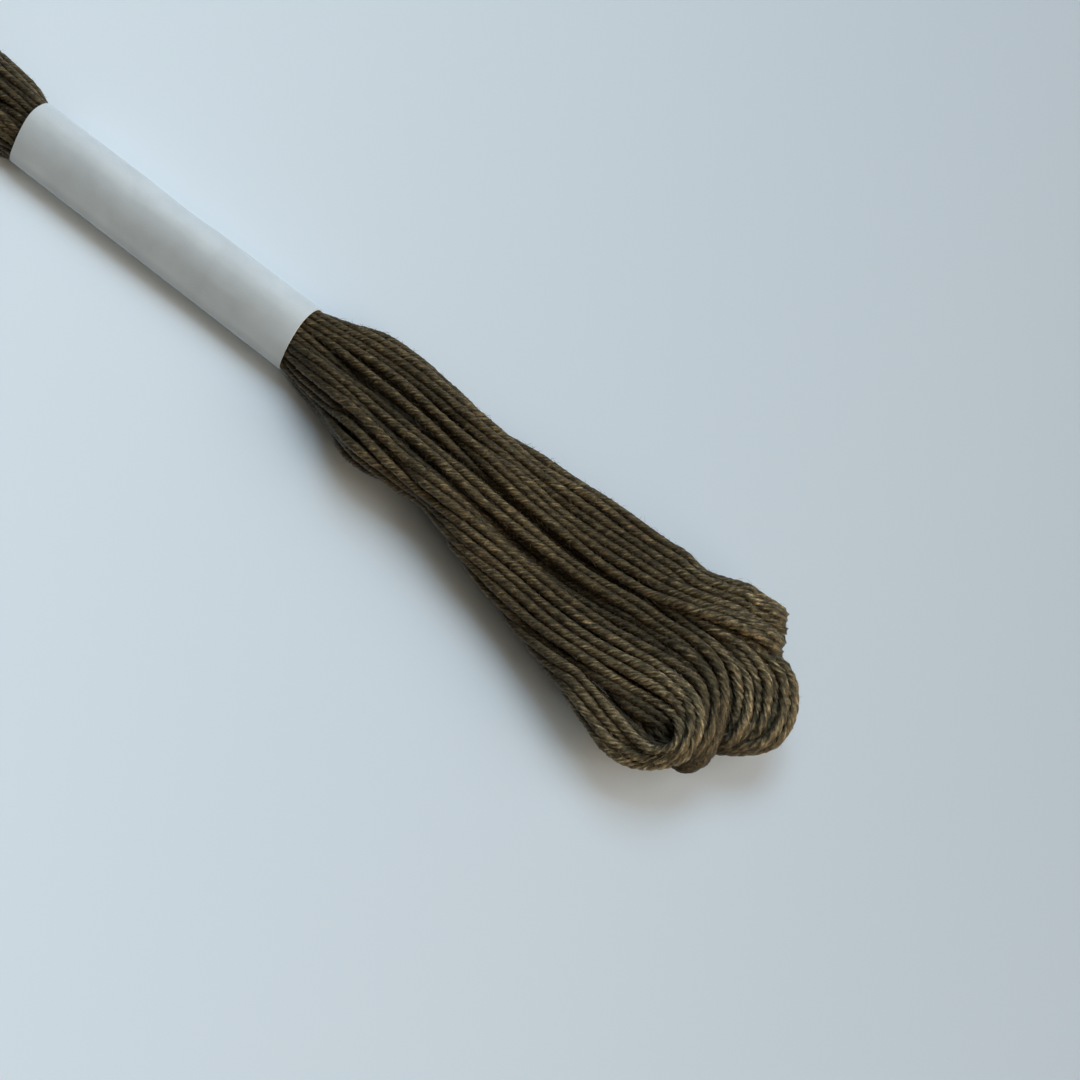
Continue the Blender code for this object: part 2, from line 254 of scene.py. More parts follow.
# The loops of each lock, as two lines through space that the loops lie between: along,
# across and height of the first turn's loop and of the last turn's.
Lock = namedtuple("Lock", "name first_turn last_turn first_loop last_loop")
LOCKS = [Lock(*row) for row in (
    ("upper", 0, 6,
     ((62, 6.5, 2.2), (65, 6, 2.4), (66.9, 6.4, 2.6), (68.7, 7, 2.7), (70.5, 7, 2.7),
      (71.9, 7.15, 2.5), (72.7, 7.2, 2), (72.7, 7.2, 1.4), (71.7, 7.1, 0.9), (69.3, 7.1, 0.6),
      (66.5, 6.3, 0.5), (62, 6, 0.5)),
     ((62, 1.1, 2.7), (65.3, 2.2, 2.9), (67.2, 2.8, 3.1), (69, 3.4, 3.2), (70.9, 3.9, 3.2),
      (72.7, 4.3, 3.1), (73.9, 4.5, 2.7), (74.5, 4.6, 2), (74.4, 4.7, 1.3), (73.5, 4.7, 0.8),
      (71.8, 4.6, 0.6), (68.5, 4, 0.5), (62, 3.1, 0.5))),
    ("middle", 7, 14,
     ((62, 0.7, 1.3), (65.2, 0.85, 1.5), (67.1, 0.8, 1.8), (69.1, 0.7, 2.2), (70.8, 0.4, 2.4),
      (72.2, -0.25, 2.4), (73.3, -1.2, 2.3), (74.2, -2.3, 2.1), (74.9, -3.5, 1.8),
      (75.3, -4.6, 1.5), (75.3, -5.4, 1.1), (74.8, -6, 0.7), (72.6, -6.2, 0.5), (69, -4.6, 0.5),
      (62, 0.2, 0.5)),
     ((62, 3.5, 1.2), (66.8, 3.5, 1.5), (70.7, 3.6, 1.9), (72.6, 3.7, 2.1), (74.4, 3.6, 2.2),
      (76.3, 3.3, 2.2), (77.5, 2.6, 2.1), (78.4, 1.6, 2), (79.2, 0.3, 1.9), (79.6, -1.3, 1.7),
      (79.5, -2.5, 1.5), (78.9, -3.4, 1.2), (77.8, -4.3, 0.9), (76.4, -5.1, 0.7), (74.6, -5.9, 0.5),
      (71.9, -6.9, 0.5), (68.2, -6.9, 0.5), (62, -5.4, 1.2))),
    ("nested", 15, 19,
     ((62, -0.5, 2.7), (65.4, -0.3, 2.8), (67.3, -0.1, 2.9), (69.2, -0.2, 3), (70.7, -0.5, 3),
      (72.2, -1.3, 3), (73.4, -2.4, 3), (74.2, -3.6, 2.9), (74.9, -4.9, 2.7), (75.3, -6.1, 2.4),
      (75.4, -7.2, 2), (75.1, -8.2, 1.5), (74.6, -9, 1), (73.4, -9.4, 0.7), (72, -9.4, 0.5),
      (68.3, -8.6, 0.5), (62, -7.4, 1.2)),
     ((62, -4.1, 2.8), (65.7, -3.6, 2.9), (67.5, -3.3, 3.1), (69.4, -3.1, 3.2), (71.3, -3.3, 3.3),
      (72.6, -4.1, 3.3), (73.5, -5.2, 3.2), (74.1, -6.6, 3), (74.2, -7.8, 2.5), (73.9, -8.9, 1.9),
      (73.1, -9.4, 1.3), (71.2, -9.2, 0.9), (68.4, -7.6, 0.6), (62, -4.8, 0.5))),
    ("lower", 20, 23,
     ((62, -4.6, 2.8), (65.7, -4.2, 2.9), (67.6, -4.05, 3.1), (69.5, -4.1, 3.3), (71.5, -4.45, 3.4),
      (72.8, -5.3, 3.5), (73.6, -6.5, 3.4), (74, -7.7, 3.1), (74, -9, 2.6), (73.3, -10.1, 2),
      (72.4, -11.1, 1.4), (71.3, -11.9, 0.9), (69.7, -12.5, 0.6), (67.6, -12.5, 0.5),
      (65.7, -11.9, 0.5), (62, -10.8, 0.5)),
     ((62, -7.7, 2.7), (65.8, -7.2, 2.7), (67.7, -6.9, 2.8), (69.6, -6.7, 2.9), (71.2, -6.7, 2.9),
      (72.4, -7.2, 2.9), (73.2, -8, 2.8), (73.4, -9, 2.6), (73, -9.9, 2.3), (72.2, -10.5, 2.1),
      (70.5, -10.7, 1.9), (67.7, -10.3, 1.8), (62, -9.3, 1.6))),
    ("edge", 24, 25,
     ((62, -8.3, 1.9), (66.7, -7.9, 2), (69.5, -7.6, 2.1), (71.3, -7.5, 2.1), (72.4, -7.8, 1.9),
      (72.9, -8.6, 1.7), (72.7, -9.5, 1.5), (71.6, -9.9, 1.3), (69.4, -9.7, 1.1), (66.6, -9.2, 1),
      (62, -8.6, 0.6)),
     ((62, -8.2, 1.4), (66.5, -8.2, 1.3), (68.8, -8.35, 1.3), (71, -8.45, 1.2), (72.1, -8.55, 0.9),
      (71.5, -8.6, 0.6), (69.3, -8.6, 0.5), (66.4, -8.4, 0.5), (62, -8.1, 0.5))),
)]

BAND_HALF = 18.9
BAND_HEIGHT = 5.9
PAPER_THICK = 0.13
# The band's outside, across and height, round its section: it leans, with its top well to
# the high side and a long slope to the low side.
BAND_SECTION = (
    (3.4, 3.55), (3.32, 4.4), (2.9, 5.15), (2.15, 5.62), (1.2, 5.85), (0.35, 5.77), (-0.55, 5.4),
    (-1.5, 4.76), (-2.15, 4.17), (-2.8, 3.48), (-3.36, 2.82), (-3.62, 2.22), (-3.55, 1.6),
    (-3.05, 0.82), (-2.0, 0.22), (-0.4, 0.04), (1.3, 0.4), (2.45, 1.3), (3.15, 2.45),
)
THIN_STRAND = 0.76
FULL_STRAND = 0.95
LOOSE_STRAND = 1.02
# Strands that meet press into one another until they are this share of a strand apart.
PRESSED = 0.88


def strand_width(along):
    """The floss is pressed thin in the band, swells as it leaves it and is loosest in the loops."""
    return np.interp(
        np.abs(along), (BAND_HALF - 3.0, BAND_HALF, 28.0, 64.0, 70.0),
        (THIN_STRAND - 0.04, THIN_STRAND, FULL_STRAND, FULL_STRAND, LOOSE_STRAND),
    )


def unit(arrows):
    """The arrows, each made one long."""
    return arrows / np.linalg.norm(arrows, axis=-1, keepdims=True)


def easy(along, stations, values):
    """Values at stations, joined by a smooth curve."""
    stations = np.asarray(stations, float)
    values = np.asarray(values, float)
    slopes = np.gradient(values, stations)
    along = np.clip(along, stations[0], stations[-1])
    i = np.clip(np.searchsorted(stations, along, side="right") - 1, 0, len(stations) - 2)
    span = stations[i + 1] - stations[i]
    t = (along - stations[i]) / span
    return (
        (2 * t**3 - 3 * t**2 + 1) * values[i] + (t**3 - 2 * t**2 + t) * span * slopes[i]
        + (3 * t**2 - 2 * t**3) * values[i + 1] + (t**3 - t**2) * span * slopes[i + 1]
    )


def fan_outline(along):
    """The fan's high edge, low edge and top there, as the middles of its outermost strands."""
    half_strand = strand_width(along) / 2
    _, high, low, top = (easy(along, fan_along, column) for column in zip(*FAN))
    return high - half_strand, low + half_strand, top


def crown(across, high, low, top):
    """The height of the fan's rounded top there."""
    inside = np.clip(np.abs(across - (high + low) / 2) / ((high - low) / 2), 0, 1)
    return top * (0.5 + 0.5 * (1 - inside**3.0) ** (1 / 3.0))


# A strand's middle lies no lower than this.
LOWEST = 0.45
# The hidden passes take up this much of the fan, from its low edge and from the table.
HIDDEN_FROM, HIDDEN_SPAN = 0.06, 0.88
BURIED_FROM, BURIED_SPAN = 0.08, 0.8


def aims(along):
    """Where every pass should lie in the section there: across and height, one row each."""
    high, low, top = fan_outline(along)
    places = []
    for row in TOP_PASSES:
        lane = easy(along, fan_along, row.across)
        sunk = max(0.0, easy(along, fan_along, row.sunk))
        over_edge = max(0.0, lane - high, low - lane)
        across = min(max(lane, low), high)
        top_here = crown(across, high, low, top)
        if over_edge > top_here - 0.5:
            across -= np.sign(across) * (over_edge - top_here + 0.5)
        places.append((across, max(LOWEST, top_here - over_edge - sunk)))
    end_high, end_low, end_top = fan_outline(FAN_ENDS)
    for row in LOW_PASSES:
        share = (row.across - end_low) / (end_high - end_low)
        lift = (row.height - LOWEST) / (end_top - LOWEST)
        places.append((
            low + (high - low) * (HIDDEN_FROM + HIDDEN_SPAN * share),
            0.5 + (top - 0.6) * (BURIED_FROM + BURIED_SPAN * lift),
        ))
    return np.array(places)


def distances(points):
    """How far along a line each of its points lies."""
    return np.concatenate(([0], np.cumsum(np.linalg.norm(np.diff(points, axis=0), axis=1))))


def closed_smooth(points, step):
    """A closed line through the points, in even pieces of about a step, and its length."""
    count_before = len(points)
    padded = np.vstack((points[-3:], points, points[:4]))
    reach = distances(padded)
    start, stop = reach[3], reach[3 + count_before]
    count = max(12, int((stop - start) / step))
    wanted = start + (stop - start) * np.arange(count) / count
    return np.stack([easy(wanted, reach, column) for column in padded.T], axis=1), stop - start


band_wall, _ = closed_smooth(np.array(BAND_SECTION), 0.15)
band_inward = np.roll(band_wall, -1, axis=0) - np.roll(band_wall, 1, axis=0)
band_inward = unit(band_inward[:, ::-1] * (-1, 1))


def band_hole(places, clearance):
    """Moves what is nearer to the band's outside than the clearance inwards."""
    nearest = ((places[:, None] - band_wall[None]) ** 2).sum(-1).argmin(1)
    depth = ((places - band_wall[nearest]) * band_inward[nearest]).sum(1)
    return places + band_inward[nearest] * np.clip(clearance - depth, 0, None)[:, None]


def pressed_apart(places, width, share):
    """Pushes passes that lie in one another apart, by a share of what they overlap."""
    gap = places[:, None, :] - places[None, :, :]
    far = np.sqrt((gap**2).sum(-1)) + np.eye(len(places)) * 99
    push = np.clip(width - far, 0, None) / far
    return places + share * (gap * push[..., None]).sum(1)


# The passes that show are held to their places, and the hidden ones find their own.
SHOWN_HOLD = 0.35
HIDDEN_HOLD = (0.015, 0.01)
hank_passes = [(row.turn, row.way) for row in TOP_PASSES + LOW_PASSES]
TOP_COUNT = len(TOP_PASSES)
on_top = np.arange(len(hank_passes)) < TOP_COUNT
hold = np.where(on_top[:, None], SHOWN_HOLD, HIDDEN_HOLD)

# Inside the band the fan's section is squeezed until it fits the paper.
IN_PAPER = 2 * PAPER_THICK + 0.05 + THIN_STRAND / 2
SQUEEZE_STEPS = 900
squeezed = (aims(FAN_STARTS) - (0, 2.6)) * (0.9, 1.0) + (0, BAND_HEIGHT / 2)
in_band = squeezed.copy()
for step in range(SQUEEZE_STEPS):
    in_band = pressed_apart(in_band, THIN_STRAND, 0.35)
    in_band = band_hole(in_band + 0.01 * (squeezed - in_band), IN_PAPER)

# Outward from the band to where the loops begin, a section at a time. Nothing rises above
# the fan's rounded top, and the hidden passes stay under the ones that show.
SECTION_STEP = 1.0
PACKING_STEPS = 45
section_along = np.arange(BAND_HALF, FAN_ENDS + 0.01, SECTION_STEP)
sections = []
places = in_band
for along in section_along:
    width = float(strand_width(along))
    aim = aims(max(along, FAN_STARTS))
    high, low, top = fan_outline(max(along, FAN_STARTS))
    blend = np.clip((along - BAND_HALF) / 4.0, 0.1, 1.0)
    for step in range(PACKING_STEPS):
        places = places + hold * blend * (aim - places)
        places[:, 1] -= 0.008
        places = pressed_apart(places, width * PRESSED, 0.3)
        if along < FAN_STARTS:
            places = band_hole(places, IN_PAPER)
            continue
        places[:, 0] = np.clip(places[:, 0], low, high)
        order = np.argsort(places[:TOP_COUNT, 0])
        lid = np.interp(places[TOP_COUNT:, 0], places[order, 0], places[order, 1]) - 0.7 * width
        places[TOP_COUNT:, 1] = np.minimum(places[TOP_COUNT:, 1], np.maximum(lid, width / 2))
        ceiling = np.maximum(crown(places[:, 0], high, low, top), width / 2)
        places[:, 1] = np.clip(places[:, 1], width / 2, ceiling)
    sections.append(places.copy())
sections = np.array(sections)

# Each pass is stiff, so its path is smoothed along its length.
for step in range(6):
    sections[1:-1] = (sections[:-2] + 2 * sections[1:-1] + sections[2:]) / 4


def evenly(points, count):
    """The same line through evenly spaced points."""
    points = np.asarray(points, float)
    reach = distances(points)
    wanted = np.linspace(0, reach[-1], count)
    return np.stack([easy(wanted, reach, points[:, axis]) for axis in range(3)], axis=1)


LOOP_POINTS = 60
# Some loops have slipped under the rest of their lock, and lie a little in or out there.
SUNK_LOOPS = {3: -0.4, 7: 0.1, 16: 0.5}
SUNK_LOOP_DEPTH = 0.9
# Others have sunk only where they set off into the loop.
SUNK_STARTS = {18: 0.3, 20: 0.25, 23: 0.9, 24: 0.3}
SUNK_START_SPAN = 0.42
# In the upper and middle locks every other loop rides a little high.
HIGH_LOOP, LOW_LOOP = 0.1, -0.04


def loop_line(lock, turn):
    """One turn's loop between its lock's two outer lines."""
    share = (turn - lock.first_turn) / max(1, lock.last_turn - lock.first_turn)
    first = evenly(lock.first_loop, LOOP_POINTS)
    last = evenly(lock.last_loop, LOOP_POINTS)
    line = first + (last - first) * share
    arch = np.sin(np.linspace(0, np.pi, LOOP_POINTS))[:, None]
    if turn in SUNK_LOOPS:
        line += arch * (SUNK_LOOPS[turn], 0.0, -SUNK_LOOP_DEPTH)
    elif lock.name in ("upper", "middle"):
        line += arch * (0.0, 0.0, HIGH_LOOP if turn % 2 else LOW_LOOP)
    start = np.sin(np.pi * np.clip(np.linspace(0, 1, LOOP_POINTS) / SUNK_START_SPAN, 0, 1))[:, None]
    line -= start * (0.0, 0.0, SUNK_STARTS.get(turn, 0.0))
    return line


def gentle(share):
    """A share between 0 and 1, eased at both ends."""
    share = np.clip(share, 0, 1)
    return share**2 * (3 - 2 * share)


def joined_to(line, start, finish):
    """The loop, shifted near its two ends so that it meets the passes it joins."""
    away = np.linspace(0, 1, len(line))[:, None]
    at_start, at_finish = gentle(1 - away / 0.3), gentle(1 - (1 - away) / 0.3)
    return line + at_start * (start - line[0]) + at_finish * (finish - line[-1])


OPEN_TIP = 80.1
FAR_END_SHORTENING = 0.9375
FAR_END_NARROWING = 0.88
# The far half's waist: how much it draws in, how far along, and over what reach.
FAR_WAIST, FAR_WAIST_ALONG, FAR_WAIST_REACH = 0.17, 26, 7


def far_end(line):
    """The other half of the hank: the same way round, a little shorter and more closed."""
    line = np.array(line)
    away = np.abs(line[:, 0])
    spread = np.clip((away - BAND_HALF) / 20, 0, 1)
    waist = FAR_WAIST * np.exp(-(((away - FAR_WAIST_ALONG) / FAR_WAIST_REACH) ** 2))
    line[:, 1] *= 1 - (1 - FAR_END_NARROWING) * spread - waist
    beyond = np.clip(away - BAND_HALF, 0, None)
    squeeze = (OPEN_TIP * FAR_END_SHORTENING - BAND_HALF) / (OPEN_TIP - BAND_HALF)
    line[:, 0] = -(np.minimum(away, BAND_HALF) + beyond * squeeze)
    return line


def pass_line(turn, way):
    """One pass from the middle of the band to where its loop begins."""
    index = hank_passes.index((turn, way))
    inner = [(along, *in_band[index]) for along in np.arange(0, BAND_HALF - 1, 1.5)]
    run = [(along, *sections[i, index]) for i, along in enumerate(section_along)]
    return np.array(inner + run)


TURN_STEP = 0.7
turns = []
lock_of = []
for lock in LOCKS:
    for turn in range(lock.first_turn, lock.last_turn + 1):
        near_out, near_back = pass_line(turn, "out"), pass_line(turn, "back")
        near_loop = joined_to(loop_line(lock, turn), near_out[-1], near_back[-1])
        far_out, far_back = far_end(near_out), far_end(near_back)
        far_loop = joined_to(far_end(loop_line(lock, turn)), far_out[-1], far_back[-1])
        closed = np.vstack((
            near_out, near_loop[1:-1], near_back[::-1],
            far_back[1:], far_loop[::-1][1:-1], far_out[::-1][:-1], near_out[:1],
        ))
        turns.append(evenly(closed, int(distances(closed)[-1] / TURN_STEP))[:-1])
        lock_of.append(lock.name)

# Every point of every turn is one row here, with its turn, its place in that turn, and the
# rows of the points before and after it.
every = np.vstack(turns)
turn_of = np.concatenate([np.full(len(line), i) for i, line in enumerate(turns)])
place_in = np.concatenate([np.arange(len(line)) for line in turns])
count_in = np.array([len(line) for line in turns])[turn_of]
starts = np.concatenate(([0], np.cumsum([len(line) for line in turns])))[:-1]
ahead = starts[turn_of] + (place_in + 1) % count_in
behind = starts[turn_of] + (place_in - 1) % count_in
width_at = strand_width(every[:, 0])
# Past the first lock, the loops lie closer together and a little off the table.
LOOPS_FROM, LOOPS_FULL = 64, 70
in_loops = np.interp(np.abs(every[:, 0]), (LOOPS_FROM, LOOPS_FULL), (PRESSED, 0.74))
pressed_width = width_at * np.where(turn_of > LOCKS[0].last_turn, in_loops, PRESSED)
least_height = width_at * np.interp(np.abs(every[:, 0]), (LOOPS_FROM, LOOPS_FULL), (0.54, 0.66))

# No pass lies quite straight: each wanders a little to the side and up and down.
WANDER_ACROSS, WANDER_UP = 0.07, 0.10
chance = np.random.default_rng(11)
stray = np.zeros_like(every)
for i, line in enumerate(turns):
    run = np.arange(len(line)) / len(line)
    for axis, size in ((1, WANDER_ACROSS), (2, WANDER_UP)):
        for waves in range(5, 27, 3):
            swing = size * chance.normal() * np.sin(2 * np.pi * (waves * run + chance.random()))
            stray[turn_of == i, axis] += swing / 1.7
in_fan = np.clip((np.abs(every[:, 0]) - BAND_HALF - 1) / 6, 0, 1)
every += stray * in_fan[:, None]
guide = every.copy()


def tree_of(points):
    """A search tree of the points."""
    tree = kdtree.KDTree(len(points))
    for index, point in enumerate(points):
        tree.insert(point, index)
    tree.balance()
    return tree


def touching(points, reach):
    """Pairs of points on different stretches of floss that are nearer than the reach."""
    tree = tree_of(points)
    pairs = []
    for index, point in enumerate(points):
        for _, other, _ in tree.find_range(point, reach):
            if other > index:
                pairs.append((index, other))
    pairs = np.array(pairs)
    same = turn_of[pairs[:, 0]] == turn_of[pairs[:, 1]]
    apart = np.abs(place_in[pairs[:, 0]] - place_in[pairs[:, 1]])
    apart = np.minimum(apart, count_in[pairs[:, 0]] - apart)
    return pairs[~same | (apart > 4)]


# The turns settle against one another: pushed apart where they meet, let down by their
# own weight, and smoothed along their length because the floss is springy. The loops
# spring back less.
SETTLING = 90
NEIGHBOURS_EVERY = 15
FAN_SPRING, LOOP_SPRING = 0.93, 0.965
springiness = np.where(np.abs(every[:, 0]) < 61, FAN_SPRING, LOOP_SPRING)[:, None]
for step in range(SETTLING):
    if step % NEIGHBOURS_EVERY == 0:
        pairs = touching(every, FULL_STRAND * 1.25)
    one, two = pairs.T
    gap = every[one] - every[two]
    far = np.linalg.norm(gap, axis=1)
    wanted = (pressed_width[one] + pressed_width[two]) / 2
    push = (np.clip(wanted - far, 0, None) / np.maximum(far, 1e-6))[:, None] * gap
    moved = np.stack([
        np.bincount(one, push[:, axis], len(every)) - np.bincount(two, push[:, axis], len(every))
        for axis in range(3)
    ], axis=1)
    every += 0.22 * moved
    off = every - guide
    off = off * 0.4 + (off[ahead] + off[behind]) * 0.3
    every = guide + off * springiness
    every[:, 2] -= 0.002
    every[:, 2] = np.maximum(every[:, 2], least_height)
    banded = np.abs(every[:, 0]) < BAND_HALF
    every[banded, 1:] = band_hole(every[banded, 1:], IN_PAPER)

# The open end is springy and stands clear of the table, its low side a little more. It is
# pressed a little flatter there, and rises towards a point high over its low side.
Rise = namedtuple("Rise", "along clear low_side press")
OPEN_END = [Rise(*row) for row in (
    (19.5, 0, 0, 1), (25, 0.7, 0.7, 0.95), (32, 1.7, 1.2, 0.9), (40, 2.5, 1.4, 0.85),
    (50, 2.7, 0.3, 0.85), (60, 2.8, 0.3, 0.85), (68, 3, 0.8, 0.85), (80, 3, 0.6, 0.85),
)]
RISES_TO = np.array((106.0, -62.8, 188.5))
rise_along = [row.along for row in OPEN_END]
high_side, low_side, _ = fan_outline(np.clip(every[:, 0], FAN_STARTS, FAN_ENDS))
lowness = np.clip((high_side - every[:, 1]) / (high_side - low_side), 0, 1)
_, clear, low_clear, press = (easy(every[:, 0], rise_along, column) for column in zip(*OPEN_END))
clear += lowness * low_clear
lift = np.where(every[:, 0] > OPEN_END[0].along, clear + (press - 1) * every[:, 2], 0.0)
towards = RISES_TO - every
every += lift[:, None] * towards / towards[:, 2:]
settled = [every[turn_of == i] for i in range(len(turns))]
settled_tree = tree_of(every)

# How far each stretch has sunk between neighbours that stand higher on both its sides.
DEEPEST = 1.6
tangent = unit(every[ahead] - every[behind])
beside = np.cross(tangent, (0, 0, 1.0))
beside /= np.linalg.norm(beside, axis=1)[:, None] + 1e-9
pairs = touching(every, 2.5)
pairs = np.vstack((pairs, pairs[:, ::-1]))
offset = ((every[pairs[:, 1]] - every[pairs[:, 0]]) * beside[pairs[:, 0]]).sum(1)
walls = []
for side in (offset > 0.3, offset < -0.3):
    wall = np.full(len(every), -9.0)
    np.maximum.at(wall, pairs[side, 0], every[pairs[side, 1], 2])
    walls.append(wall)
sunk_by = np.clip(np.minimum(*walls) - every[:, 2], 0, DEEPEST)
for step in range(8):
    sunk_by = (sunk_by[ahead] + 2 * sunk_by + sunk_by[behind]) / 4

# The strand itself: six plies laid round one another, so its section has six soft lobes
# that turn left-handed as they run, about once in three millimetres. Round the tight
# loops the plies lie looser and straighter.
PLIES = 6
# Each ring's points are by turns a ply's crest and the valley after it.
RING_POINTS = PLIES * 2
in_valley = np.arange(RING_POINTS) % 2
RING_STEP = 0.33
LAY = 3.1
LOBE = 0.055
LOOSE_LOBE = 0.13
LOOSE_TWIST = 0.55
LOOSE_GIRTH = 0.13
LOOPS_BEGIN = 66.0


def carried_frames(line):
    """The way a closed line runs at each point, a direction square to it that is carried
    along without turning, and the angle by which that misses its start."""
    along = unit(np.roll(line, -1, axis=0) - np.roll(line, 1, axis=0))
    side = np.empty_like(along)
    side[0] = unit(np.cross(along[0], (0, 0, 1.0)))
    for i in range(1, len(line)):
        side[i] = unit(side[i - 1] - along[i] * np.dot(side[i - 1], along[i]))
    last = unit(side[-1] - along[0] * np.dot(side[-1], along[0]))
    miss = math.atan2(np.dot(np.cross(last, side[0]), along[0]), np.dot(last, side[0]))
    return along, side, miss


def twisted(path, length, chance):
    """The rings of points that make a strand of six plies along a closed path."""
    along, side, miss = carried_frames(path)
    up = np.cross(along, side)
    run = np.arange(len(path)) / len(path)
    loose = np.clip((np.abs(path[:, 0]) - LOOPS_BEGIN) / 5, 0, 1)

    def ripple(first, last, size):
        """A smooth wandering value round the closed line."""
        waves = range(first, last, max(1, (last - first) // 9))
        parts = [chance.normal() * np.sin(2 * np.pi * (k * run + chance.random())) for k in waves]
        return size * sum(parts) / len(parts) ** 0.5

    def by_ply(first, last, size):
        """Such a value for each ply, given to its crest and to the valley beside it."""
        each = np.array([ripple(first, last, size) for ply in range(PLIES)])
        return each[np.arange(RING_POINTS) // 2].T

    slack = 1 - (1 - LOOSE_TWIST) * loose
    rate = slack * np.exp(ripple(3, 40, 0.12)) / (LAY * chance.uniform(0.88, 1.14))
    wound = np.cumsum(rate) * length / len(path)
    phase = miss * run + 2 * np.pi * wound * round(wound[-1]) / wound[-1]
    girth = (0.98 + ripple(9, 60, 0.04)) * (1 + LOOSE_GIRTH * loose)
    depth = (LOBE + (LOOSE_LOBE - LOBE) * loose) * np.exp(ripple(40, 240, 0.5))
    stout = 1 + by_ply(40, 260, 0.05)
    around = 2 * np.pi * np.arange(RING_POINTS) / RING_POINTS
    angle = around[None, :] - phase[:, None] + by_ply(30, 200, 0.22)
    lobe = stout * (1.0 - 2 * depth[:, None] * in_valley[None, :])
    reach = (strand_width(path[:, 0]) / 2 * girth)[:, None] * lobe
    return (
        path[:, None, :]
        + side[:, None, :] * (np.cos(angle) * reach)[..., None]
        + up[:, None, :] * (np.sin(angle) * reach)[..., None]
    )


def crease_of(rings, path, turn):
    """How clear of the neighbouring strands each point of a strand stands, from 0 to 1."""
    ring_of, other = [], []
    for index, centre in enumerate(path):
        for _, near, _ in settled_tree.find_range(centre, 1.35):
            if turn_of[near] != turn:
                ring_of.append(index)
                other.append(near)
    ring_of, other = np.array(ring_of), np.array(other)
    away = rings[ring_of] - every[other][:, None, :]
    run = tangent[other][:, None, :]
    away -= (away * run).sum(-1, keepdims=True) * run
    far = np.linalg.norm(away, axis=-1)
    nearest = np.full(rings.shape[:2], 9.0)
    np.minimum.at(nearest, ring_of, far)
    return gentle((nearest / strand_width(path[:, 0])[:, None] - 0.48) / 0.55)


# Painted shade: a crease between strands keeps this share of its colour, and a sunk strand
# is painted darker by up to this share more.
CREASE_SHADED_SHARE = 0.55
SUNK_PAINTED_SHADE, SUNK_FROM, SUNK_SPAN = 0.62, 0.15, 0.8
# Painted light and shade along each half of the hank, which slopes to the light or away from it: a share of
# the colour at each place.
PAINTED_LIGHT_ALONG = (24, 34, 44, 50, 56, 62, 68)
PAINTED_LIGHT_SHARES = (0.82, 0.88, 0.98, 1.08, 0.70, 0.70, 0.95)
# Where each lock's loops begin to be painted lighter and are painted lightest, how much lighter
# they are painted there, and how much of its colour each lock keeps past 60 mm as painted shade.
LockShading = namedtuple("LockShading", "begins full openness light")
LOCK_SHADING = {
    "upper": LockShading(59, 70, 0.62, 1.0),
    "middle": LockShading(59, 70, 0.62, 1.0),
    "nested": LockShading(59, 70, 0.25, 0.66),
    "lower": LockShading(55, 65, 0.9, 1.0),
    "edge": LockShading(59, 70, 0.1, 0.55),
}


def painted_shade_on(rings, path, turn):
    """The painted shade and light on each point of a strand's rings, as a share of its colour."""
    own = sunk_by[turn_of == turn]
    run = np.arange(len(path)) / len(path)
    sunk = np.interp(run, np.arange(len(own) + 1) / len(own), np.append(own, own[0]))
    crease_shade = CREASE_SHADED_SHARE + (1 - CREASE_SHADED_SHARE) * crease_of(rings, path, turn)
    sunk_shade = SUNK_PAINTED_SHADE * np.clip((sunk - SUNK_FROM) / SUNK_SPAN, 0, 1)
    # Painted shade deep inside the nested and edge locks: the share of colour each lock keeps past 60 mm.
    lock_shade = np.interp(path[:, 0], (60, 70), (1.0, LOCK_SHADING[lock_of[turn]].light))
    # Painted light and shade along the hank.
    painted_along = np.interp(np.abs(path[:, 0]), PAINTED_LIGHT_ALONG, PAINTED_LIGHT_SHARES)
    return crease_shade * ((1 - sunk_shade) * lock_shade * painted_along)[:, None]


# The strand's map runs in decimetres along it and in turns round it.
MAP_UNIT = 0.01
# The tones at each point: crest or valley, the turn's own shade, painted light on the loops, and painted
# shade and light from creases, sunk strands, the inner locks and the slope along the hank.
TONES = ("ply_height", "turn_shade", "loop_painted_light", "painted_shading")


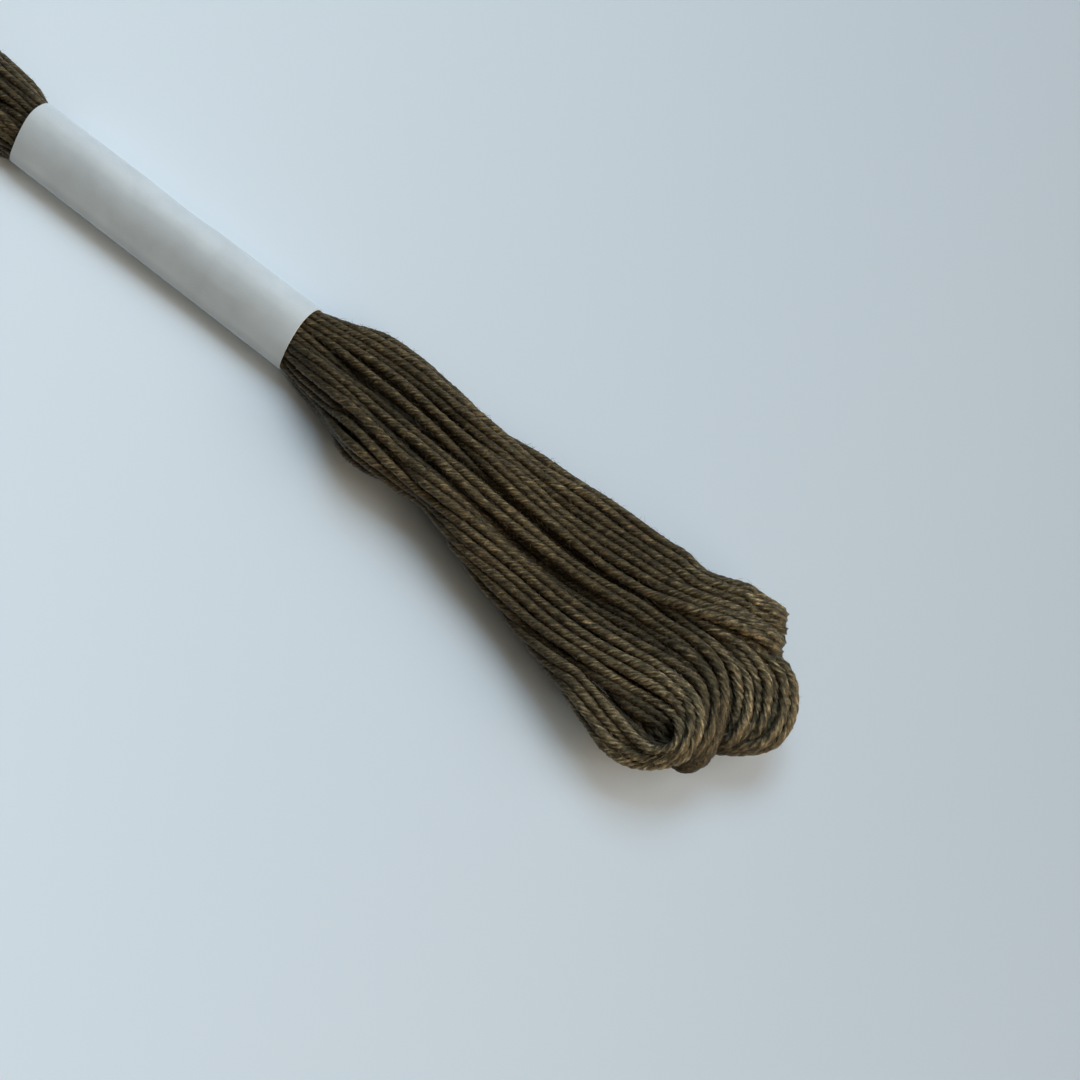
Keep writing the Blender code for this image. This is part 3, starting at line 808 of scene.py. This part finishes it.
def floss_mesh(name, its_turns):
    """One mesh of the closed six-ply strands of some turns."""
    points, faces, runs, tones = [], [], [], []
    base = 0
    corner = np.arange(RING_POINTS)
    for turn in its_turns:
        chance = np.random.default_rng(100 + turn)
        path, length = closed_smooth(settled[turn], RING_STEP)
        rings = twisted(path, length, chance)
        points.append(rings.reshape(-1, 3))
        ring_count = len(path)
        first = np.arange(ring_count)[:, None] * RING_POINTS
        a, b = first + corner, first + (corner + 1) % RING_POINTS
        c, d = (b + RING_POINTS) % a.size, (a + RING_POINTS) % a.size
        faces.append(np.stack((a, b, c, d), axis=-1).reshape(-1, 4) + base)
        u0 = np.broadcast_to((np.arange(ring_count) / ring_count * length)[:, None], a.shape)
        u1 = u0 + length / ring_count
        v0 = np.broadcast_to(corner / RING_POINTS, a.shape)
        v1 = v0 + 1 / RING_POINTS
        runs.append(np.stack((u0, v0, u0, v1, u1, v1, u1, v0), axis=-1).reshape(-1, 2))
        lock_shading = LOCK_SHADING[lock_of[turn]]
        # Painted light on the loops: how far each point's colour is made lighter.
        loop_light = np.interp(path[:, 0], (lock_shading.begins, lock_shading.full), (0, lock_shading.openness))
        tones.append(np.stack((
            np.broadcast_to(1.0 - in_valley, a.shape),
            np.full(a.shape, chance.normal(0, 1)),
            np.broadcast_to(loop_light[:, None], a.shape),
            painted_shade_on(rings, path, turn),
        ), axis=-1).reshape(-1, 4))
        base += a.size
    points = (np.vstack(points) + hank_middle) * MM
    faces = np.vstack(faces)
    mesh = bpy.data.meshes.new(name)
    mesh.vertices.add(len(points))
    mesh.vertices.foreach_set("co", points.astype(np.float32).ravel())
    mesh.loops.add(faces.size)
    mesh.loops.foreach_set("vertex_index", faces.astype(np.int32).ravel())
    mesh.polygons.add(len(faces))
    mesh.polygons.foreach_set("loop_start", np.arange(0, faces.size, 4, dtype=np.int32))
    mesh.update(calc_edges=True)
    mesh.shade_smooth()
    laid = mesh.uv_layers.new(name="yarn_run")
    laid.data.foreach_set("uv", (np.vstack(runs) * (MAP_UNIT, 1.0)).astype(np.float32).ravel())
    for layer_name, values in zip(TONES, np.vstack(tones).T):
        layer = mesh.attributes.new(layer_name, "FLOAT", "POINT")
        layer.data.foreach_set("value", values.astype(np.float32))
    return placed(name, mesh)


# Six-strand cotton: combed fibres with a faint lustre, fine streaks along the plies, light tufts
# where fibres stand up, and slow changes of hue from olive to brown. The valleys between the
# plies are painted darker than the crests, as painted shade.
SHADED_VALLEY_BROWN = "#322B1C"
LIT_CREST_BROWN = "#544833"
COTTON_LUSTRE = "#E7CFA7"
BROWNER, GREENER = (1.07, 0.985, 0.94, 1.0), (0.99, 1.0, 0.96, 1.0)
# Painted light: the loops are painted lighter, standing in for the low light that falls across them.
LOOP_PAINTED_LIGHT = (1.97, 2.1, 2.35, 1.0)
# Each pattern's length along a ply in millimetres and count round the strand. Cotton
# fibres are about 0.015 mm thick, too fine to show, and are drawn ten times as broad.
FIBRES = (2.0, 20.0)
PATCHES = (6.25, 5.0)
TUFTS = (0.625, 9.0)

floss_material, cotton, floss_look = new_material("six_strand_cotton", roughness=0.45)
floss_look["Sheen Weight"].default_value = 0.04
floss_look["Sheen Roughness"].default_value = 0.5
floss_look["Specular IOR Level"].default_value = 0.5
floss_look["Specular Tint"].default_value = linear(COTTON_LUSTRE)
BLEND = {"data_type": "RGBA", "blend_type": "MIX"}
ply_height, turn_shade, loop_painted_light, painted_shading = [
    node(cotton, "Attribute", {"attribute_name": name}, output="Fac") for name in TONES
]
yarn_run = node(cotton, "UVMap", {"uv_map": "yarn_run"}, output="UV")
own_place = node(cotton, "CombineXYZ", None, {"Z": turn_shade})
patterns = []
for (length, count), detail, roughness in ((FIBRES, 3.0, 0.65), (PATCHES, 2.0, 0.5), (TUFTS, 3.0, 0.7)):
    place = node(
        cotton, "VectorMath", {"operation": "MULTIPLY_ADD"},
        {0: yarn_run, 1: (1 / MAP_UNIT / length, count, 1.0), 2: own_place},
    )
    patterns.append(node(cotton, "TexNoise", None, {
        "Vector": place, "Scale": 1.0, "Detail": detail, "Roughness": roughness,
    }, "Fac"))
fibres, patches, tufts = patterns

# Painted shade in the ply valleys and painted light on the crests.
ply_shaded_colour = node(cotton, "Mix", BLEND, {0: ply_height, 6: linear(SHADED_VALLEY_BROWN), 7: linear(LIT_CREST_BROWN)}, 2)
fibre_tone = node(cotton, "MapRange", None, {
    "Value": fibres, "From Min": 0.32, "From Max": 0.68, "To Min": 0.55, "To Max": 1.6,
}, "Result")
tuft_share = node(cotton, "MapRange", None, {"Value": tufts, "From Min": 0.32, "From Max": 0.7}, "Result")
# Few tufts are light and most are dark.
tuft_share = node(cotton, "Math", {"operation": "POWER"}, {0: tuft_share, 1: 2.2})
tuft_tone = node(cotton, "Math", {"operation": "MULTIPLY_ADD"}, {0: tuft_share, 1: 3.4, 2: 0.4})
olive_share = node(cotton, "MapRange", None, {
    "Value": patches, "From Min": 0.35, "From Max": 0.65,
}, "Result")
hue = node(cotton, "Mix", BLEND, {0: olive_share, 6: BROWNER, 7: GREENER}, 2)
turn_tone = node(cotton, "MapRange", None, {
    "Value": turn_shade, "From Min": -2.0, "From Max": 2.0, "To Min": 0.86, "To Max": 1.14,
}, "Result")
# Painted light: the loops' colour is made lighter.
loop_light_tone = node(cotton, "Mix", BLEND, {0: loop_painted_light, 6: (1.0, 1.0, 1.0, 1.0), 7: LOOP_PAINTED_LIGHT}, 2)
floss_colour = ply_shaded_colour
# Painted light on the loops and painted shade and light from the mesh are multiplied in with the rest.
for tone in (fibre_tone, tuft_tone, hue, turn_tone, loop_light_tone, painted_shading):
    floss_colour = node(cotton, "Mix", MULTIPLY, {0: 1.0, 6: floss_colour, 7: tone}, 2)
cotton.links.new(floss_colour, floss_look["Base Color"])
fibre_bump = node(cotton, "Bump", None, {"Strength": 0.9, "Distance": 0.08 * MM, "Height": fibres})
tuft_bump = node(
    cotton, "Bump", None,
    {"Strength": 0.9, "Distance": 0.18 * MM, "Height": tufts, "Normal": fibre_bump},
)
cotton.links.new(tuft_bump, floss_look["Normal"])

for piece_name, lock_names in (
    ("floss_upper_lock", ("upper",)),
    ("floss_middle_lock", ("middle",)),
    ("floss_nested_lock", ("nested",)),
    ("floss_lower_lock", ("lower", "edge")),
):
    piece = floss_mesh(piece_name, [turn for turn, name in enumerate(lock_of) if name in lock_names])
    piece.data.materials.append(floss_material)
    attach(piece, "root")
    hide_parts("floss_hank")

# ---------------------------------------------------------------------------
# The nap: loose ends of cotton fibre that stand off the strands and soften their edges.
# Each is a thin bent point with its root in a strand. A real fibre is about 0.015 mm
# thick, too fine to show, so they are drawn about twice as thick and fewer.

NAP_COUNT = 19500
NAP_REACH = (0.12, 0.62)
NAP_THICKNESS = 0.032
NAP_LEAN = 0.9
NAP_CURL = 0.5
# Strands that lie under others show little of theirs.
UNDER_OTHERS = 0.15
NAP_LOWEST = 0.06
NAP_COLOUR = "#5E5443"

covered = np.zeros(len(every), dtype=bool)
for index, point in enumerate(every):
    for spot, _, _ in settled_tree.find_range(point, 1.6):
        if spot.z > point[2] + 0.45 and math.hypot(spot.x - point[0], spot.y - point[1]) < 0.5:
            covered[index] = True
            break


def nap_mesh(name, count, seed):
    """One mesh of tapered three-sided fibre ends scattered over the strands."""
    chance = np.random.default_rng(seed)
    runs = unit(every[ahead] - every)
    free = np.flatnonzero(np.abs(every[:, 0]) > BAND_HALF + 0.6)
    likely = np.where(covered[free], UNDER_OTHERS, 1.0)
    pick = chance.choice(free, count, p=likely / likely.sum())
    root, run = every[pick], runs[pick]
    out = chance.normal(size=(count, 3))
    out = unit(out - (out * run).sum(1)[:, None] * run)
    out *= np.where(~covered[pick] & (out[:, 2] < -0.3), -1.0, 1.0)[:, None]
    reach = chance.uniform(*NAP_REACH, count)[:, None]
    lean = chance.normal(0, NAP_LEAN, count)[:, None]
    sideways = np.cross(run, out) * chance.normal(0, NAP_CURL, count)[:, None]
    start = root + out * (strand_width(root[:, 0]) / 2 * 0.8)[:, None]
    bend = start + (out * 0.7 + run * lean * 0.5 + sideways * 0.3) * reach * 0.5
    end = start + (out * 0.8 + run * lean * 1.2 + sideways) * reach
    bend[:, 2] = np.maximum(bend[:, 2], NAP_LOWEST)
    end[:, 2] = np.maximum(end[:, 2], NAP_LOWEST)
    axis = unit(end - start)
    first = unit(np.cross(axis, (0.31, 0.52, 0.79)))
    second = np.cross(axis, first)
    rings = []
    for centre, share in ((start, 1.0), (bend, 0.8)):
        for corner in (0, 1, 2):
            angle = 2 * math.pi * corner / 3
            square = first * math.cos(angle) + second * math.sin(angle)
            rings.append(centre + square * NAP_THICKNESS / 2 * share)
    points = np.stack(rings + [end], axis=1)
    sides = [(2, 1, 0)]
    for corner in (0, 1, 2):
        after = (corner + 1) % 3
        sides += [(corner, after, 3 + after), (corner, 3 + after, 3 + corner), (3 + corner, 3 + after, 6)]
    faces = (np.array(sides)[None] + 7 * np.arange(count)[:, None, None]).reshape(-1, 3)
    mesh = bpy.data.meshes.new(name)
    mesh.from_pydata(((points.reshape(-1, 3) + hank_middle) * MM).tolist(), [], faces.tolist())
    mesh.shade_smooth()
    return placed(name, mesh)


# Single fibres catch no streaks or tufts of their own: they only look paler and softer
# than the strands, which a plain matt brown gives at this size.
nap_material, _, nap_look = new_material("loose_cotton_fibre", roughness=0.7)
nap_look["Base Color"].default_value = linear(NAP_COLOUR)
nap_look["Specular IOR Level"].default_value = 0.3
nap = nap_mesh("floss_nap", NAP_COUNT, seed=5)
nap.data.materials.append(nap_material)
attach(nap, "root")
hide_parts("floss_hank")

# ---------------------------------------------------------------------------
# The band: a bare strip of thin smooth paper wrapped round the waist, lapped and glued
# underneath. It follows the floss, so it leans and dents softly.

# The strip's two ends, in turns round the waist.
LAP_STARTS = 0.62
LAP_ENDS = 1.70
# The upper end climbs over the lower one in the last part of a whole turn.
LAP_CLIMB_FROM, LAP_CLIMB = 0.98, 0.02
PAPER_SIDES = 120
PAPER_RINGS = 56
# The paper's face lies this far inside the section that the floss was packed into.
FACE_INSET = 0.02
BAND_SKEW = -0.02
# Each ripple's depth, length along the band, turns round it and shift.
DENTS = ((0.06, 5.3, 2, 0.6), (0.045, 3.1, -1, 2.1), (0.03, 1.9, 3, 0.0))
PAPER_WHITE = "#CDD2D4"


def round_waist(values, around):
    """The waist's values at a share of the way round it."""
    place = around % 1.0 * len(values)
    stations = np.arange(len(values) + 1)
    columns = [np.interp(place, stations, np.append(column, column[0])) for column in values.T]
    return np.stack(columns, axis=1)


def paper_outline(around, along):
    """The paper's outside at a share of the way round the waist and a place along it."""
    spot, inward = round_waist(band_wall, around), round_waist(band_inward, around)
    angle = 2 * np.pi * around
    dent = sum(
        deep * np.sin(along / reach + turned * angle + shift) for deep, reach, turned, shift in DENTS
    )
    # Only the upper side, which shows, is dented.
    dent = dent * np.clip((spot[:, 1] - 1.5) / 1.5, 0, 1)
    return spot + inward * np.clip(dent, 0, None)[:, None]


def paper_mesh(name):
    """The strip as a closed sheet with an outside, an inside and edges."""
    wrap = np.linspace(LAP_STARTS, LAP_ENDS, PAPER_SIDES)
    climb = np.clip((wrap - LAP_STARTS - LAP_CLIMB_FROM) / LAP_CLIMB, 0, 1)
    lapped = climb * (PAPER_THICK + FACE_INSET)
    shells = []
    for inset in (PAPER_THICK + FACE_INSET, FACE_INSET + 2 * PAPER_THICK):
        rings = []
        for place in np.linspace(-BAND_HALF, BAND_HALF, PAPER_RINGS):
            section = paper_outline(wrap, place)
            run = np.gradient(section, axis=0)
            out = unit(np.stack((run[:, 1], -run[:, 0]), axis=1))
            spot = section + out * (lapped - inset)[:, None]
            slant = BAND_SKEW * (spot[:, 0] - BAND_OFF_LINE) * abs(place) / BAND_HALF
            ends = np.full(len(wrap), place) + slant
            rings.append(np.column_stack((ends, spot)))
        shells.append(np.array(rings).reshape(-1, 3))
    half = PAPER_RINGS * PAPER_SIDES
    faces = []

    def at(ring, side, shell):
        return shell * half + ring * PAPER_SIDES + side

    for ring in range(PAPER_RINGS - 1):
        for side in range(PAPER_SIDES - 1):
            a, d = at(ring, side, 0), at(ring + 1, side, 0)
            faces += [(a, a + 1, d + 1, d), (d + half, d + 1 + half, a + 1 + half, a + half)]
        for side, turned in ((0, False), (PAPER_SIDES - 1, True)):
            edge = (at(ring, side, 0), at(ring + 1, side, 0), at(ring + 1, side, 1), at(ring, side, 1))
            faces.append(edge[::-1] if turned else edge)
    for ring, turned in ((0, False), (PAPER_RINGS - 1, True)):
        for side in range(PAPER_SIDES - 1):
            edge = (at(ring, side, 1), at(ring, side + 1, 1), at(ring, side + 1, 0), at(ring, side, 0))
            faces.append(edge[::-1] if turned else edge)
    mesh = bpy.data.meshes.new(name)
    mesh.from_pydata(((np.vstack(shells) + hank_middle) * MM).tolist(), [], faces)
    mesh.shade_smooth()
    mesh.set_sharp_from_angle(angle=math.radians(50))
    return placed(name, mesh)


# Smooth uncoated paper: pulp pressed between rollers, so it has a soft sheen, faint clouds
# a few millimetres wide where the pulp lies thicker, and a grain of about a tenth of a
# millimetre that only just shows.
CLOUDS_PER_METRE = 300.0
GRAINS_PER_METRE = 9000.0
paper_material, paper, paper_look = new_material("smooth_uncoated_paper", roughness=0.5)
paper_look["Specular IOR Level"].default_value = 0.35
paper_place = node(paper, "TexCoord", output="Object")
clouds, grain = [
    node(paper, "TexNoise", None, {"Vector": paper_place, "Scale": scale, "Detail": detail}, "Fac")
    for scale, detail in ((CLOUDS_PER_METRE, 3.0), (GRAINS_PER_METRE, 2.0))
]
cloud_tone = node(paper, "MapRange", None, {
    "Value": clouds, "From Min": 0.3, "From Max": 0.7, "To Min": 0.94, "To Max": 1.05,
}, "Result")
grain_tone = node(paper, "MapRange", None, {
    "Value": grain, "To Min": 0.93, "To Max": 1.07,
}, "Result")
paper_colour = node(paper, "Mix", MULTIPLY, {0: 1.0, 6: linear(PAPER_WHITE), 7: cloud_tone}, 2)
paper_colour = node(paper, "Mix", MULTIPLY, {0: 1.0, 6: paper_colour, 7: grain_tone}, 2)
paper.links.new(paper_colour, paper_look["Base Color"])
paper_bump = node(paper, "Bump", None, {"Strength": 0.15, "Distance": 0.04 * MM, "Height": grain})
paper.links.new(paper_bump, paper_look["Normal"])
paper_sleeve = paper_mesh("paper_sleeve")
paper_sleeve.data.materials.append(paper_material)
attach(paper_sleeve, "root")
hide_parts("paper_band")
